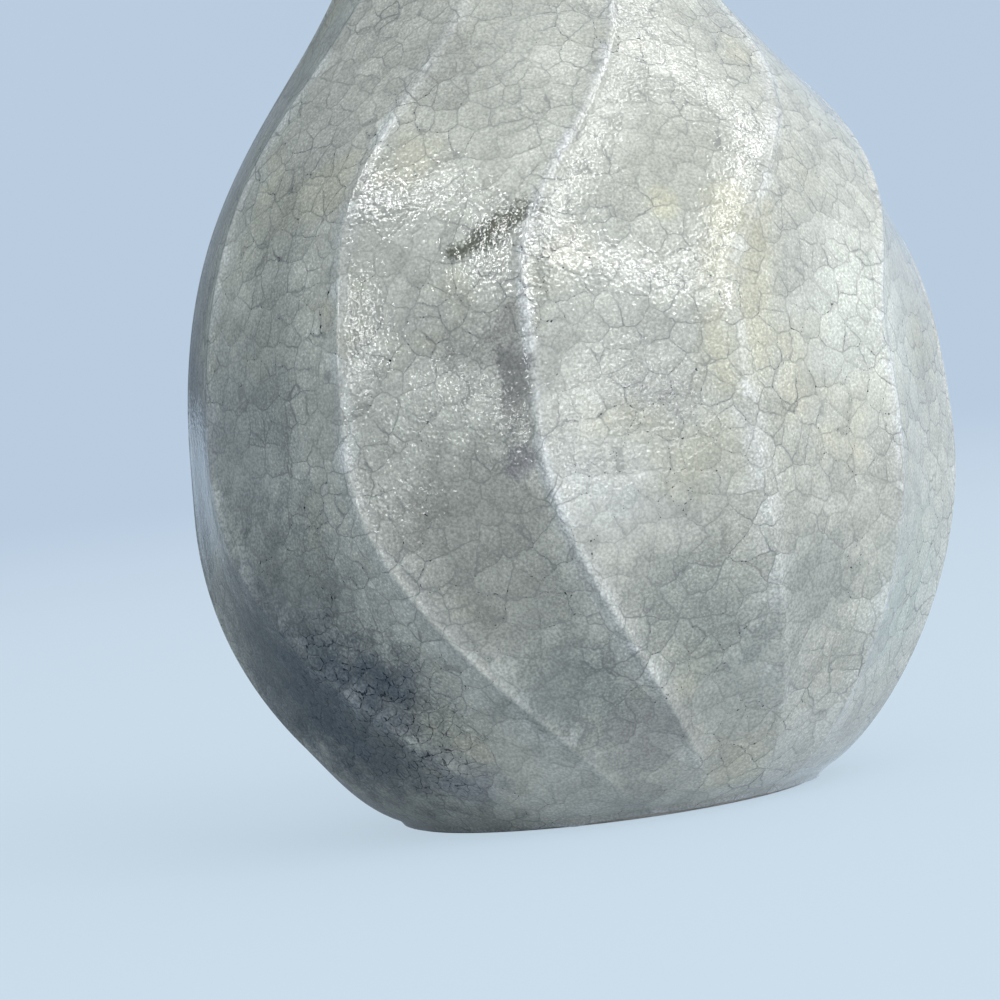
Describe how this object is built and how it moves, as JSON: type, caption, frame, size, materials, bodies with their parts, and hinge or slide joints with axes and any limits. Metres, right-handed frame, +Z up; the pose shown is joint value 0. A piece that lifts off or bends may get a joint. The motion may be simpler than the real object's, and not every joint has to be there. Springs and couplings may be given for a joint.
{
  "type": "bottle vase",
  "caption": "Pear-shaped stoneware bottle vase with twisted pinched ribs, thick crackled grey-green glaze, narrow neck, flared lip and a low foot ring.",
  "frame": {"origin": "on the ground plane under the middle of the foot ring", "axes": "+Z up along the vase's axis, -Y towards the side that the picture shows, +X to its right"},
  "size_m": [0.0763, 0.0763, 0.129],
  "materials": {
    "bare_foot": "bare fired stoneware, dark and slightly rough",
    "clay": "fired grey stoneware",
    "slip": "fired slip, smooth and matt",
    "outer_glaze": "thick glossy milky grey-green glaze with a dense grey crackle",
    "inner_glaze": "thin glossy grey-green glaze"
  },
  "bodies": {
    "root": {"foot_ring": "bare_foot", "base_slab": "clay", "lower_belly": "clay", "belly_seam_slip": "slip", "upper_belly": "clay", "neck_seam_slip": "slip", "neck": "clay", "outer_glaze": "outer_glaze", "inner_glaze": "inner_glaze", "base_glaze": "inner_glaze"}
  },
  "joints": []
}
